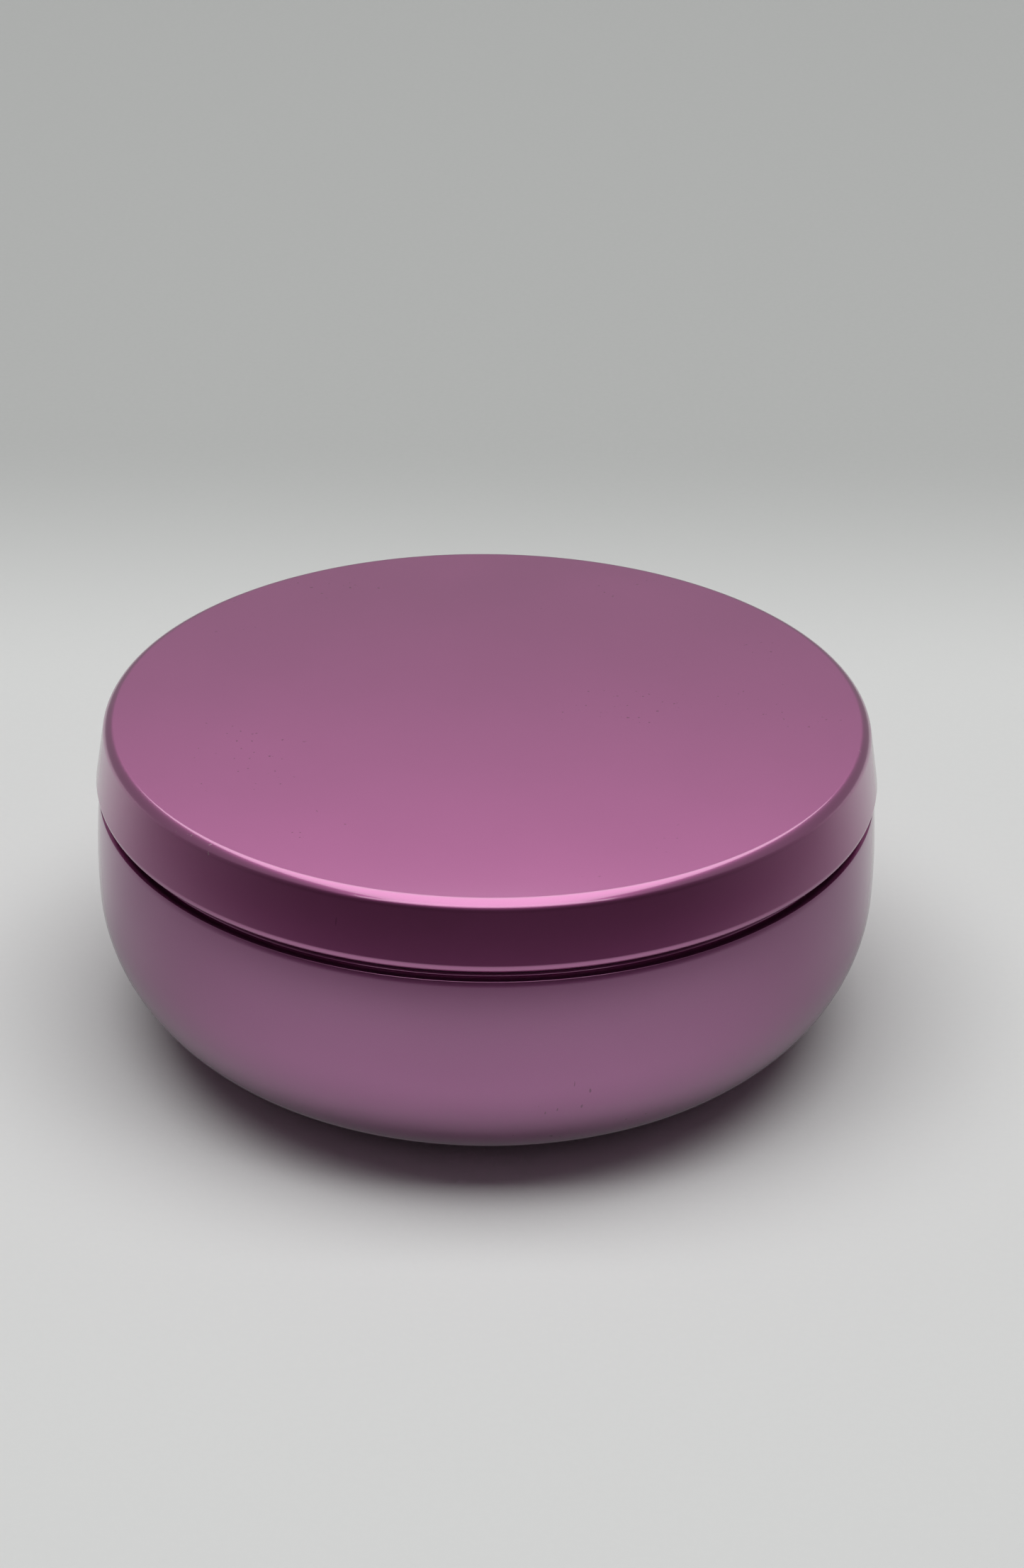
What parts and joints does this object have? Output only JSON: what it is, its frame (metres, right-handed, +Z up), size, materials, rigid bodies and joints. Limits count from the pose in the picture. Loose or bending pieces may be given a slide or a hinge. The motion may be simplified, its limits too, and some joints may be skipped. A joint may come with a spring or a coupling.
{
  "type": "candle tin",
  "caption": "Round seamless metal candle tin with a bowl-shaped body, a stepped shoulder, a curled-hem slip lid, and wicks set in wax inside.",
  "frame": {"origin": "on the tin's axis, at the surface that the foot ring stands on", "axes": "+Z up along the tin's axis, through the lid; the tin is round, so +X and +Y only fix where the wicks stand: wick_1 is on +Y"},
  "size_m": [0.116, 0.116, 0.0488],
  "materials": {
    "enamelled_tinplate": "satin metallic pink enamel, bare lacquered tinplate inside",
    "wax": "soft satin cream wax",
    "cotton_wick": "waxed cotton braid",
    "tab_metal": "plain tinned steel",
    "sticker_foam": "white foam adhesive disc"
  },
  "bodies": {
    "tin": {"tin_body": "enamelled_tinplate", "wax_fill": "wax", "wick_1": "cotton_wick", "wick_2": "cotton_wick", "wick_3": "cotton_wick", "wick_sustainer_1": "tab_metal", "wick_sustainer_2": "tab_metal", "wick_sustainer_3": "tab_metal", "wick_sticker_1": "sticker_foam", "wick_sticker_2": "sticker_foam", "wick_sticker_3": "sticker_foam"},
    "lid": {"lid": "enamelled_tinplate"}
  },
  "joints": [
    {"name": "lid_lift", "type": "slide", "parent": "tin", "child": "lid", "axis": [0, 0, 1], "range_m": [0, 0.06]}
  ]
}
